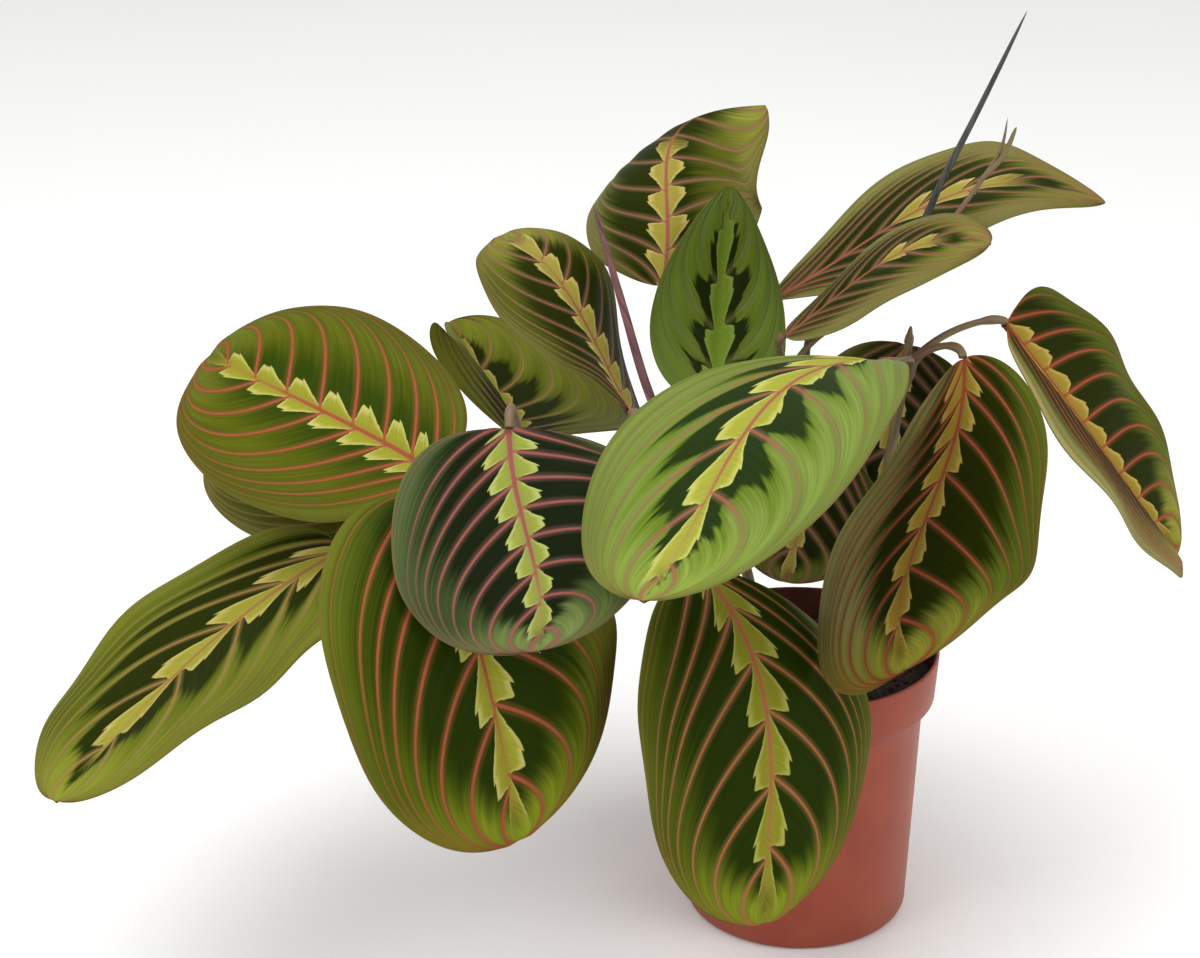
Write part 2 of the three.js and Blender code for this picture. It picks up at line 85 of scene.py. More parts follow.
class Wire:
    """A socket in a material's node tree. Arithmetic on it adds a Math node."""

    def __init__(self, tree, socket=None):
        self.tree = tree
        self.socket = socket

    def node(self, kind, settings=None, inputs=None, output=0):
        """Adds a node: its settings first, then the value or link of each socket."""
        made = self.tree.nodes.new("ShaderNode" + kind)
        for name, value in (settings or {}).items():
            setattr(made, name, value)
        for key, value in (inputs or {}).items():
            if isinstance(value, Wire):
                self.tree.links.new(value.socket, made.inputs[key])
            else:
                made.inputs[key].default_value = value
        return Wire(self.tree, made.outputs[output])

    def sums(self, operation, *values):
        """A Math node. The operators below all come here."""
        return self.node("Math", {"operation": operation}, dict(enumerate(values)))

    def __add__(self, other):
        return self.sums("ADD", self, other)

    __radd__ = __add__

    def __sub__(self, other):
        return self.sums("SUBTRACT", self, other)

    def __rsub__(self, other):
        return self.sums("SUBTRACT", other, self)

    def __mul__(self, other):
        return self.sums("MULTIPLY", self, other)

    __rmul__ = __mul__

    def __truediv__(self, other):
        return self.sums("DIVIDE", self, other)

    def __pow__(self, other):
        return self.sums("POWER", self, other)

    def __abs__(self):
        return self.sums("ABSOLUTE", self)

    def least(self, other):
        return self.sums("MINIMUM", self, other)

    def most(self, other):
        return self.sums("MAXIMUM", self, other)

    def rest(self):
        """What is left of the number above its whole part."""
        return self.sums("FRACT", self)

    def wave(self):
        return self.sums("SINE", self)

    def parts(self):
        """The three numbers of a vector."""
        split = self.node("SeparateXYZ", None, {0: self}).socket.node
        return [Wire(self.tree, socket) for socket in split.outputs]

    def vector(self, x, y, z):
        return self.node("CombineXYZ", None, {0: x, 1: y, 2: z})

    def step(self, low, high):
        """A soft step: 0 up to low, 1 from high on, and an S-shaped rise between them."""
        limits = {"Value": self, "From Min": low, "From Max": high}
        return self.node("MapRange", {"interpolation_type": "SMOOTHSTEP"}, limits)

    def blend(self, under, over):
        """Colour under where this mask is 0, and colour over where it is 1."""
        return self.node("Mix", {"data_type": "RGBA"}, {0: self, 6: under, 7: over}, 2)

    def shade(self, colour):
        """The colour made lighter or darker by this number."""
        return self.node("HueSaturation", None, {"Value": self, "Color": colour})

    def speckle(self, where, scale, detail=2.0):
        """Cloudy noise from 0 to 1."""
        return self.node("TexNoise", None, {"Vector": where, "Scale": scale, "Detail": detail})


def tone(code):
    """A paint code of six hex digits as linear red, green and blue with full cover."""
    levels = np.array([int(code[i:i + 2], 16) for i in (0, 2, 4)]) / 255.0
    linear = np.where(levels <= 0.04045, levels / 12.92, ((levels + 0.055) / 1.055) ** 2.4)
    return (*linear.tolist(), 1.0)


def finish_of(name, build, **fixed):
    """A material: build(wire) gives its colour, roughness, relief and the relief's depth in metres.
    The numbers in fixed are the same all over and are set on the shader itself."""
    material = bpy.data.materials.new(name)
    material.use_nodes = True
    tree = material.node_tree
    shader = tree.nodes["Principled BSDF"]
    for socket, value in fixed.items():
        shader.inputs[socket.replace("_", " ")].default_value = value
    wire = Wire(tree)
    colour, rough, relief, depth = build(wire)
    bump = wire.node("Bump", None, {"Distance": depth, "Height": relief})
    tree.links.new(colour.socket, shader.inputs["Base Color"])
    tree.links.new(rough.socket, shader.inputs["Roughness"])
    tree.links.new(bump.socket, shader.inputs["Normal"])
    return material


def floor_paint(wire):
    """Matt white board with a faint unevenness."""
    where = wire.node("TexCoord", None, None, 3)
    cloud = wire.speckle(where, 3.0)
    return cloud.blend(tone("f2f2f0"), tone("f7f7f6")), 0.7 + cloud * 0.1, cloud, 0.0002


floor_mesh = bpy.data.meshes.new("floor")
corners = [(x * FLOOR_REACH, y * FLOOR_REACH, 0.0) for x, y in ((-1, -1), (1, -1), (1, 1), (-1, 1))]
floor_mesh.from_pydata(corners, [], [(0, 1, 2, 3)])
floor = bpy.data.objects.new("floor", floor_mesh)
floor_mesh.materials.append(finish_of("floor_board", floor_paint))
bpy.context.collection.objects.link(floor)


# Pot: a thin injection-moulded nursery pot of terracotta-coloured plastic, with a thicker rim band,
# a slanted step below it and drain holes in the flat base. Its shape is the solid's own, with the
# moulded edges rounded and the wall smooth all round.
# Sizes in metres. The mouth is the inner radius at the top, which shrinks by the lean for each
# metre further down, and the rings are the waves' radians for each metre of height.
POT_TOP = 0.11
POT_MOUTH = 0.0515
POT_LEAN = 0.08
POT_EDGE_ROUNDING = 0.0004
POT_EDGE_ANGLE = math.radians(28.0)
POT_RINGS = 2900.0
DUSTY_BELOW = 0.03
# Heights in metres from which the inner wall is painted dark: painted shade inside the pot
INNER_SHADE_FROM = (0.088, 0.092)
MERGE_DISTANCE = 1e-6


def pot_plastic(wire):
    """Satin plastic: cloudy pigment, faint rings up the wall, scuffs, dust near the floor, and
    painted shade: the inner wall above the soil is darkened where shade falls inside the pot."""
    where = wire.node("TexCoord", None, None, 3)
    x, y, z = where.parts()
    cloud = wire.speckle(where, 38.0, 4.0)
    grain = wire.speckle(where, 900.0)
    around = wire.node("Math", {"operation": "ARCTAN2"}, {0: y, 1: x})
    scuff = wire.speckle(wire.vector(around * 3.0, z * 260.0, 0.0), 4.0, 3.0).step(0.62, 0.8)
    dust = (z.step(DUSTY_BELOW, 0.0) * cloud).step(0.25, 0.75)
    rings = (z * POT_RINGS).wave()
    body = cloud.step(0.3, 0.7).blend(tone("8a3c2a"), tone("974630"))
    worn = (scuff * 0.35).blend(body, tone("a75d46"))
    dusty = (dust * 0.35).blend(worn, tone("7a402f"))
    radius = (x * x + y * y) ** 0.5
    inside = 1.0 - (radius + (POT_TOP - z) * POT_LEAN - POT_MOUTH).step(-0.0004, 0.0002)
    # Painted shade: the inner wall above the soil is darkened, where shade falls inside the pot
    inner_wall_painted_shade = inside * z.step(*INNER_SHADE_FROM) * (0.6 + cloud * 0.5)
    colour = inner_wall_painted_shade.least(0.9).blend(dusty, tone("2a1710"))
    relief = rings * 0.25 + grain * 0.4 + cloud * 0.6
    return colour, 0.36 + cloud * 0.12 + scuff * 0.2, relief, 0.00006


def rounded_copy(node, name, rounding, angle):
    """A node's mesh with its loose triangles merged, shaded smooth but for its edges, which get a
    small rounding."""
    shape = bmesh.new()
    shape.from_mesh(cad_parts[node].data)
    bmesh.ops.remove_doubles(shape, verts=shape.verts, dist=MERGE_DISTANCE)
    mesh = bpy.data.meshes.new(name)
    shape.to_mesh(mesh)
    shape.free()
    mesh.shade_smooth()
    mesh.set_sharp_from_angle(angle=angle)
    piece = bpy.data.objects.new(name, mesh)
    bpy.context.collection.objects.link(piece)
    bevel = piece.modifiers.new("rounded_edges", "BEVEL")
    bevel.width = rounding
    bevel.segments = 3
    bevel.limit_method = "ANGLE"
    bevel.angle_limit = angle
    bevel.harden_normals = True
    return piece


pot = rounded_copy("pot", "nursery_pot", POT_EDGE_ROUNDING, POT_EDGE_ANGLE)
pot.data.materials.clear()
pot.data.materials.append(finish_of(
    "pot_terracotta", pot_plastic, Specular_IOR_Level=0.25, Coat_Weight=0.03, Coat_Roughness=0.3,
))
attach(pot, "root")
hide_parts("pot")


# Soil: dark peat mix pressed round the stems, lumpy on top, with loose crumbs lying on it. It fills
# the pot to its floor. Heights and radii in millimetres, from the pot's base and middle; lumps as
# (width, height).
SOIL_WALL = [(49.75, 97.0), (49.4, 92.0), (44.9, 86.5), (41.3, 2.3), (0.0, 2.3)]
SOIL_MOUND = ([0.0, 17.4, 35.8, 49.75], [101.0, 100.4, 99.0, 97.0])
SOIL_LUMPS = [(11.0, 1.1), (4.6, 0.9), (2.0, 0.55)]
SOIL_RINGS = 56
SOIL_SIDES = 170
SOIL_CENTRE = 0.4
SOIL_SEED = 5
NOISE_GRID = 64
CRUMBS = 520
CRUMB_SEED = 11
CRUMB_SIZES = (0.35, 1.0)
LARGEST_CRUMB = 1.7
CRUMB_DENTS = (0.7, 1.15)
CRUMB_RISE = 0.3
CRUMBS_OFF_WALL = 2.5
MILLIMETRE = 0.001
CREASE = math.radians(50.0)


def lattice_noise(x, y, size, seed):
    """Smooth hills between -1 and 1: random heights on a square grid of the given size, with a
    soft step from each grid point to the next."""
    heights = np.random.default_rng(seed).uniform(-1.0, 1.0, (NOISE_GRID, NOISE_GRID))
    middle = NOISE_GRID // 2 - 1
    u, v = x / size + middle, y / size + middle
    i, j = (np.floor(place).astype(int) % (NOISE_GRID - 1) for place in (u, v))
    a, b = u - np.floor(u), v - np.floor(v)
    a, b = a * a * (3 - 2 * a), b * b * (3 - 2 * b)
    near = heights[i, j] * (1 - a) + heights[i + 1, j] * a
    far = heights[i, j + 1] * (1 - a) + heights[i + 1, j + 1] * a
    return near * (1 - b) + far * b


def soil_height(x, y):
    """Height of the soil's top: the mound plus three sizes of lumps, which fade at the pot wall."""
    radius = np.hypot(x, y)
    height = np.interp(radius, *SOIL_MOUND)
    fade = np.clip((SOIL_WALL[0][0] - radius) / 4.0, 0.15, 1.0)
    for seed, (size, tall) in enumerate(SOIL_LUMPS):
        height = height + tall * fade * lattice_noise(x, y, size, seed + SOIL_SEED)
    return height


def new_piece(name, points, faces, material, nodes):
    """A smooth-shaded mesh object from points in millimetres. It rides on the plant's one body and
    stands for the given nodes."""
    mesh = bpy.data.meshes.new(name)
    mesh.from_pydata((points * MILLIMETRE).tolist(), [], faces.tolist())
    mesh.shade_smooth()
    mesh.set_sharp_from_angle(angle=CREASE)
    mesh.materials.append(material)
    piece = bpy.data.objects.new(name, mesh)
    bpy.context.collection.objects.link(piece)
    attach(piece, "root")
    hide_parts(*nodes)
    return piece


def turned_faces(rings, sides):
    """Quads that join each ring of points to the next. They face outwards where the rings run
    anticlockwise and are walked from the top's centre outwards and down."""
    row, side = np.meshgrid(np.arange(rings - 1), np.arange(sides), indexing="ij")
    a = row * sides + side
    b = row * sides + (side + 1) % sides
    return np.stack((a, a + sides, b + sides, b), -1).reshape(-1, 4)


def potting_soil(wire):
    """Dark peat: near-black brown with rusty fibres, small pale grains and a rough broken top."""
    where = wire.node("TexCoord", None, None, 3)
    clod = wire.speckle(where, 160.0, 5.0)
    grain = wire.speckle(where, 900.0, 3.0)
    fibre = wire.speckle(where, 420.0, 2.0).step(0.6, 0.72)
    body = clod.step(0.35, 0.7).blend(tone("1d120d"), tone("3a271c"))
    rusty = (fibre * 0.5).blend(body, tone("5b3a24"))
    colour = (grain.step(0.7, 0.78) * 0.5).blend(rusty, tone("8a7762"))
    return colour, 0.85 + grain * 0.12, clod * 1.5 + grain, 0.0006


spread = np.sqrt(np.linspace(0.0, 1.0, SOIL_RINGS)) * SOIL_WALL[0][0]
spread[0] = SOIL_CENTRE
turn = np.arange(SOIL_SIDES) * 2.0 * np.pi / SOIL_SIDES
soil_x, soil_y = spread[:, None] * np.cos(turn), spread[:, None] * np.sin(turn)
soil_top = np.stack((soil_x, soil_y, soil_height(soil_x, soil_y)), -1)
wall = np.array(SOIL_WALL[1:-1] + [(SOIL_CENTRE, SOIL_WALL[-1][1])])
soil_side = np.stack((
    wall[:, :1] * np.cos(turn),
    wall[:, :1] * np.sin(turn),
    np.repeat(wall[:, 1:], SOIL_SIDES, axis=1),
), -1)
soil_points = np.concatenate((soil_top, soil_side)).reshape(-1, 3)
soil_faces = turned_faces(SOIL_RINGS + len(wall), SOIL_SIDES)
caps = []
for first, outward in ((0, 1), (len(soil_points) - SOIL_SIDES, -1)):
    caps.append(np.arange(first, first + SOIL_SIDES)[::outward].tolist())

# Each crumb is a dented ball of 32 faces
ball = bmesh.new()
bmesh.ops.create_icosphere(ball, subdivisions=1, radius=1.0)
bmesh.ops.subdivide_edges(ball, edges=ball.edges[:6], cuts=1)
bmesh.ops.triangulate(ball, faces=ball.faces)
crumb_points = np.array([v.co for v in ball.verts])
crumb_faces = np.array([[v.index for v in f.verts] for f in ball.faces])
ball.free()
dice = np.random.default_rng(CRUMB_SEED)
crumb_radius = np.sqrt(dice.uniform(0.0, 1.0, CRUMBS)) * (SOIL_WALL[0][0] - CRUMBS_OFF_WALL)
crumb_turn = dice.uniform(0.0, 2.0 * np.pi, CRUMBS)
crumb_size = dice.uniform(*CRUMB_SIZES, CRUMBS) ** 2 * LARGEST_CRUMB
crumb_x, crumb_y = crumb_radius * np.cos(crumb_turn), crumb_radius * np.sin(crumb_turn)
crumb_z = soil_height(crumb_x, crumb_y) + crumb_size * CRUMB_RISE
dented = crumb_points * dice.uniform(*CRUMB_DENTS, (CRUMBS, len(crumb_points), 1))
middle = np.stack((crumb_x, crumb_y, crumb_z), -1)
loose = middle[:, None, :] + dented * crumb_size[:, None, None]
first_of = len(soil_points) + np.arange(CRUMBS)[:, None, None] * len(crumb_points)
loose_faces = (crumb_faces[None] + first_of).reshape(-1, 3)

soil_mesh_points = np.concatenate((soil_points, loose.reshape(-1, 3)))
soil_mesh_faces = np.array(soil_faces.tolist() + caps + loose_faces.tolist(), dtype=object)
new_piece(
    "potting_soil", soil_mesh_points, soil_mesh_faces,
    finish_of("peat", potting_soil), ["soil"],
)


# Blades: thin soft leaves, each grown from its own midrib. The midrib is a cubic curve from base to
# tip, and each half leaves it at a fold angle and bends back down as an arc. Between the side
# veins the blade is quilted, along the midrib it is grooved above and ribbed below.
# Lengths in millimetres, angles in degrees, and tapers as the share that is lost by the tip.
BLADE_ROWS = 110
HALF_COLUMNS = 26
BASE_HALF = 1.6
TIP_HALF = 0.6
WAVE_STARTS = (2.5, 1.0)
LEAST_CURL = 1e-6
MIDDLE_THICKNESS = 0.75
MARGIN_THICKNESS = 0.4
RIB_DEPTH = 1.0
RIB_WIDTH = 1.3
RIB_TAPER = 0.7
GROOVE = 0.55
GROOVE_WIDTH = 1.6
GROOVE_TAPER = 0.6
QUILT = 0.5
QUILT_ROUNDNESS = 1.3
QUILT_FULL_AT = 5.0
QUILT_FADES_OVER = 0.3

# Side veins: how many fan out of the base itself, how far the left half's are ahead of the right
# half's, how near the base they crowd, how near the margin they are followed, and what is added
# to keep their count above 0
FAN = 2.2
HALF_SHIFT = (0.16, 0.0)
VEIN_CROWDING = 0.1
VEIN_REACH = 0.985
COUNT_LIFT = 20.0

# Jagged band: where along a cell its tooth is widest, how much it narrows towards the tip, how
# ragged its edge is, and the share of a tooth that its small notches take
TOOTH_PEAK = 0.7
BAND_TAPER = 0.62
BAND_RAGGED = 0.18
SMALL_NOTCH = 0.18

# Colours of the blades, as the photograph's leaves show them: the cells beside the midrib, the
# green beyond them, the side margins, the tip, the jagged band and its edge, the veins at the
# midrib and at the margin, and the underside with its veins and rib. Shine is how glossy the skin
# is, soft how gently the cells give way to the green, pinch how round their outer ends are, and
# ragged how far those ends are torn.
MARGIN_LINE = "6a5a2c"
COMMON = {
    "back": "6c5f50", "back_vein": "74484c", "back_rib": "4e3436", "shine": 0.02, "pinch": 0.1,
    "ragged": 0.42,
}
GREEN = {
    **COMMON, "cell": "1f2c02", "body": "4b570d", "margin": "5f641e", "tip": "727c1c",
    "band": "8b8b2c", "band_edge": "b7b166", "vein": "8f4a32", "vein_end": "845c2a", "soft": 0.26,
}
LUSH = {**GREEN, "cell": "2a3a05", "body": "50560e", "margin": "585c1c", "tip": "5c621e"}
DEEP = {
    **GREEN, "body": "4b5611", "band": "7c7c22", "band_edge": "a2a250", "vein": "9a5c3e",
    "vein_end": "967440",
}
OLIVE = {
    **COMMON, "cell": "212802", "body": "505515", "margin": "7b7840", "tip": "77772e",
    "band": "8f8434", "band_edge": "b8a565", "vein": "8b5140", "vein_end": "8f7c54", "soft": 0.2,
}
# SHADED is OLIVE painted darker: painted shade for the two blades that stand in the others' shade
SHADED = {**OLIVE, "cell": "1a2006", "body": "444b14", "margin": "5e6030", "tip": "5e6228"}
# Its pale olive margin is partly the leaf's own, partly painted light that lifts the shade which
# the bright front blade casts on the right big blade
DRAPED_WITH_PAINTED_LIGHT = {
    **OLIVE, "body": "555f1c", "margin": "918c52", "tip": "83812f", "vein": "94482f",
    "vein_end": "8a5c36", "band": "96802e", "band_edge": "bca256",
}
MELLOW = {
    **OLIVE, "body": "535b13", "margin": "6c7024", "tip": "787e28", "band": "8c8a30",
    "vein": "8f6a3a", "vein_end": "9a8e4c", "soft": 0.1, "pinch": 0.45,
}
FRESH = {
    **COMMON, "cell": "1c2c04", "body": "566b18", "margin": "6e7e36", "tip": "788936",
    "band": "949632", "band_edge": "b8ba68", "vein": "955440", "vein_end": "8c7a50",
    "shine": 0.04, "soft": 0.07, "pinch": 0.6, "ragged": 0.62,
}
TENDER = {
    **FRESH, "cell": "161f03", "body": "4f6018", "margin": "5a6c2a", "tip": "5a6c2a",
    "band": "5c7020", "band_edge": "728238", "vein": "66602e", "vein_end": "6a6c34", "pinch": 0.8,
}
# Its grey-green margin and tip are partly the dark leaf's own paler margin, partly painted sheen
DUSKY_WITH_PAINTED_SHEEN = {
    **COMMON, "cell": "121a06", "body": "33421d", "margin": "5b653e", "tip": "66743e",
    "band": "87903a", "band_edge": "aab068", "vein": "8a4e46", "vein_end": "7a5a50",
    "shine": 0.03, "soft": 0.16,
}

# Each blade's form: base and tip of its midrib, rise and sway of the two inner control points,
# its width, roll about the midrib and the twist of that roll from base to tip, fold and curl of the
# left and right half, shape as the powers of its width, and the height and number of the margin's
# waves. Stalk says how far the two ends of its stalk's curve run straight.
# Its pattern: veins is the number of cells along a half and crowd how much closer they stand near
# the base. For each half, sweep is how far the veins run towards the tip, reach how far from the
# midrib the dark cells go, and light where the margin's colour starts. Band is the half width of
# the jagged band, first and last where it starts and ends, and notch its narrowest share. Red is
# how strongly the veins are coloured, vein half their width, and slot the record's finish, which
# nothing here reads.
# USUAL holds what most blades share, and the next two what two blades each share.
USUAL = dict(
    fold=(10, 10), curl=(20, 20), waves=2, stalk=(0.3, 0.3), slot="leaf_green", crowd=0.85,
    light=(0.74, 0.74), first=0.0, last=1.0, vein=0.5,
)
IN_SHADE = dict(
    sway=(0, 0), twist=0, shape=(0.45, 0.55), wave=0.6, paint=SHADED, slot="leaf_dark", veins=7.0,
    crowd=0.75, sweep=(0.25, 0.25), reach=(0.8, 0.8), band=6.0, notch=0.3, red=0.6,
)
AT_BACK = dict(
    rise=(14, 8), sway=(0, 0), width=76, roll=0, twist=0, shape=(0.45, 0.5), wave=0.8, paint=GREEN,
    veins=7.0, crowd=0.75, sweep=(0.28, 0.28), reach=(0.75, 0.75), band=8.5, notch=0.25, red=0.9,
)
LEAVES = {
    "leaf_left_round": dict(
        base=(-137, -35, 197), tip=(-226, 37, 215), rise=(0, 9), sway=(5, -14), width=92, roll=37,
        twist=8, fold=(9, 9), curl=(14, 33), shape=(0.45, 0.45), wave=0.8, stalk=(0.3, 0.35),
        paint=LUSH, veins=8.2, sweep=(0.26, 0.16), reach=(0.5, 0.6), light=(0.6, 0.6), band=12.0,
        notch=0.18, red=1.0, vein=0.65,
    ),
    "leaf_left_under": dict(
        base=(-142, 2, 172), tip=(-222, 60, 180), rise=(0, 9), sway=(5, -14), width=88, roll=37,
        twist=8, fold=(9, 9), curl=(14, 33), shape=(0.45, 0.45), wave=0.8, stalk=(0.3, 0.35),
        paint=OLIVE, veins=7.4, sweep=(0.3, 0.16), reach=(0.7, 0.7), band=9.0, notch=0.3, red=0.7,
    ),
    "leaf_far_left": dict(
        base=(-172, -29, 164), tip=(-265, -130, 115), rise=(0, 5), sway=(16, 2), width=87, roll=-4,
        twist=-17, curl=(15, 16), shape=(0.4, 0.45), wave=1.6, waves=2.5, paint=MELLOW, veins=5.4,
        crowd=0.7, sweep=(0.3, 0.42), reach=(0.58, 0.74), light=(0.5, 0.8), band=11.0, last=0.92,
        notch=0.08, red=0.8,
    ),
    "leaf_front_left": dict(
        base=(-134, -58, 199), tip=(-106, -116, 91), rise=(33, 27), sway=(12, 6), width=117, roll=8,
        twist=5, fold=(7, 7), curl=(22, 16), shape=(0.45, 0.5), wave=1.6, stalk=(0.3, 0.35),
        paint=GREEN, veins=6.4, crowd=0.75, sweep=(0.24, 0.38), reach=(0.86, 0.88),
        light=(0.5, 0.74), band=14.5, notch=0.1, red=1.0, vein=0.75,
    ),
    "leaf_dark_round": dict(
        base=(-109, -71, 229), tip=(-98, -143, 179), rise=(-7, -5), sway=(3, -9), width=96,
        roll=-25, twist=-25, fold=(16, 11), curl=(52, 11), shape=(0.38, 0.45), wave=1.5,
        stalk=(0.3, 0.35), paint=DUSKY_WITH_PAINTED_SHEEN, slot="leaf_dark", veins=8.0, sweep=(0.12, 0.27),
        reach=(0.78, 0.78), band=11.5, notch=0.16, red=0.9, vein=0.6,
    ),
    "leaf_bright_front": dict(
        base=(21, -48, 245), tip=(-64, -175, 213), rise=(30, 2), sway=(23, 2), width=107, roll=-5,
        twist=-2, fold=(12, 2), curl=(12, 19), shape=(0.55, 0.55), wave=0.8, paint=FRESH,
        slot="leaf_bright", veins=6.0, crowd=0.75, sweep=(0.18, 0.36), reach=(0.5, 0.5),
        light=(0.4, 0.4), band=13.5, notch=0.14, red=0.75, vein=0.65,
    ),
    # One half of this blade takes the pale margin colour almost from the midrib: painted light
    # where the bright front blade shades it
    "leaf_right_big": dict(
        base=(53, -24, 237), tip=(27, -107, 153), rise=(-6, -10), sway=(-10, 19), width=105,
        roll=-37, twist=11, fold=(1, 1), shape=(0.55, 0.4), wave=1.8, stalk=(0.3, 0.35),
        paint=DRAPED_WITH_PAINTED_LIGHT, veins=7.6, crowd=0.75, sweep=(0.18, 0.42), reach=(0.88, 0.6),
        light=(1.1, 0.1), band=11.5, notch=0.12, red=1.0, vein=0.6,
    ),
    "leaf_far_right": dict(
        base=(71, -1, 242), tip=(147, 27, 136), rise=(0, -1), sway=(10, 5), width=84, roll=-36,
        twist=2, fold=(19, 19), curl=(9, 12), shape=(0.28, 0.42), wave=1.6, waves=2.5,
        stalk=(0.45, 0.12), paint=DRAPED_WITH_PAINTED_LIGHT, veins=9.5, crowd=0.9, sweep=(0.12, 0.4),
        reach=(0.82, 0.72), light=(0.95, 0.6), band=9.0, notch=0.45, red=1.0, vein=0.6,
    ),
    "leaf_over_pot": dict(
        base=(-40, -51, 165), tip=(-18, -98, 46), rise=(40, 24), sway=(-11, 3), width=101, roll=4,
        twist=-20, fold=(4, 4), curl=(31, 19), shape=(0.4, 0.5), wave=1.5, stalk=(0.3, 0.35),
        paint=DEEP, veins=7.0, crowd=0.65, sweep=(0.28, 0.28), reach=(0.95, 0.92), band=12.5,
        notch=0.1, red=0.8, vein=0.6,
    ),
    "leaf_top": dict(
        base=(-54, 36, 243), tip=(-12, 120, 289), rise=(23, 20), sway=(-1, -45), width=95, roll=-10,
        twist=34, fold=(-33, -24), curl=(29, 29), shape=(0.45, 0.42), wave=0.8, paint=OLIVE,
        veins=8.0, sweep=(0.2, 0.25), reach=(0.75, 0.42), light=(0.6, 0.48), band=11.0, last=0.66,
        notch=0.2, red=0.7, vein=0.45,
    ),
    "leaf_young_upright": dict(
        base=(-34, -6, 212), tip=(-29, 36, 282), rise=(-23, -7), sway=(-3, -3), width=56, roll=-31,
        twist=-50, fold=(9, 9), curl=(20, 21), shape=(0.45, 0.62), wave=0.5, paint=TENDER,
        slot="leaf_bright", veins=5.0, crowd=0.8, sweep=(0.24, 0.24), reach=(0.55, 0.55),
        light=(0.6, 0.6), band=8.0, notch=0.3, red=0.0,
    ),
    "leaf_upper_left": dict(
        base=(-66, 2, 206), tip=(-114, 50, 259), rise=(-12, 24), sway=(14, -3), width=77, roll=-16,
        twist=50, fold=(5, 4), curl=(21, 27), shape=(0.42, 0.45), wave=1.2, paint=OLIVE, veins=8.0,
        sweep=(0.25, 0.2), reach=(0.84, 0.86), light=(0.8, 0.8), band=12.0, notch=0.3, red=0.8,
        vein=0.42,
    ),
    "leaf_small_left": dict(
        base=(-110, 19, 188), tip=(-138, 88, 209), rise=(-14, -20), sway=(17, 12), width=105,
        roll=-32, twist=-20, fold=(25, 25), curl=(8, 6), shape=(0.43, 0.49), wave=0.6, paint=MELLOW,
        veins=7.0, crowd=0.8, sweep=(0.25, 0.25), reach=(0.5, 0.5), light=(0.6, 0.45), band=7.0,
        notch=0.3, red=0.8,
    ),
    "leaf_upper_right": dict(
        base=(-12, 47, 234), tip=(111, 37, 276), rise=(2, 46), sway=(-19, 19), width=72, roll=-9,
        twist=14, fold=(5, 5), curl=(2, 16), shape=(1.05, 0.85), wave=1.2, waves=2.5,
        stalk=(0.3, 0.2), paint=OLIVE, veins=8.0, sweep=(0.35, 0.3), reach=(0.8, 0.8),
        light=(0.5, 0.5), band=12.5, first=0.4, last=0.84, notch=0.15, red=0.7,
    ),
    "leaf_lower_right": dict(
        base=(-10, -5, 239), tip=(61, -24, 281), rise=(3, 20), sway=(-7, -2), width=54, roll=-13,
        twist=-8, fold=(5, 5), curl=(22, 22), shape=(0.58, 0.55), wave=0.5, stalk=(0.5, 0.1),
        paint=OLIVE, veins=8.0, sweep=(0.35, 0.3), reach=(0.74, 0.74), light=(0.5, 0.5), band=8.5,
        first=0.5, last=0.86, notch=0.15, red=0.6,
    ),
    "leaf_shaded_right": dict(
        IN_SHADE, base=(38, 24, 224), tip=(31, 12, 157), rise=(6, 8), width=66, roll=25,
    ),
    "leaf_shaded_low": dict(
        IN_SHADE, base=(13, 1, 190), tip=(-8, -14, 143), rise=(6, 6), width=60, roll=45,
    ),
    "leaf_back_left": dict(AT_BACK, base=(-38, 44, 165), tip=(-78, 128, 118)),
    "leaf_back_right": dict(AT_BACK, base=(14, 48, 168), tip=(30, 138, 120)),
}
LEAVES = {name: {**USUAL, **leaf} for name, leaf in LEAVES.items()}


def unit(vectors):
    """The vectors at length 1."""
    return vectors / np.linalg.norm(vectors, axis=-1, keepdims=True)


def cubic(controls, s):
    """Points and directions of a cubic curve: each of its four controls a, b, c, d pulls with the
    weight (1-s)^3, 3(1-s)^2 s, 3(1-s)s^2 and s^3."""
    a, b, c, d = np.array(controls, dtype=float)
    s = s[:, None]
    r = 1.0 - s
    points = r ** 3 * a + 3 * r * r * s * b + 3 * r * s * s * c + s ** 3 * d
    return points, unit(r * r * (b - a) + 2 * r * s * (c - b) + s * s * (d - c))


def midrib_of(leaf):
    """Controls of the midrib, and the direction to its right. The inner two stand at the thirds of
    the chord, moved to the right by sway and upwards by rise."""
    base, tip = np.array(leaf["base"], dtype=float), np.array(leaf["tip"], dtype=float)
    chord = tip - base
    side = unit(np.cross(chord, (0.0, 0.0, 1.0)))
    lift = unit(np.cross(side, chord))
    inner = [
        base + chord * third + side * sway + lift * rise
        for third, sway, rise in zip((1 / 3, 2 / 3), leaf["sway"], leaf["rise"])
    ]
    return [base, *inner, tip], side


def width_share(s, powers):
    """Half width along the leaf, from 0 to 1: s^p (1-s)^q over its largest value."""
    p, q = powers
    peak = p / (p + q)
    return s ** p * (1 - s) ** q / (peak ** p * (1 - peak) ** q)


def half_width_of(leaf, s):
    """Half width in millimetres. It runs from one blunt end's half width to the other's, and the
    width share is added to that."""
    ends = BASE_HALF + (TIP_HALF - BASE_HALF) * s
    return ends + (leaf["width"] / 2 - BASE_HALF) * width_share(s, leaf["shape"])


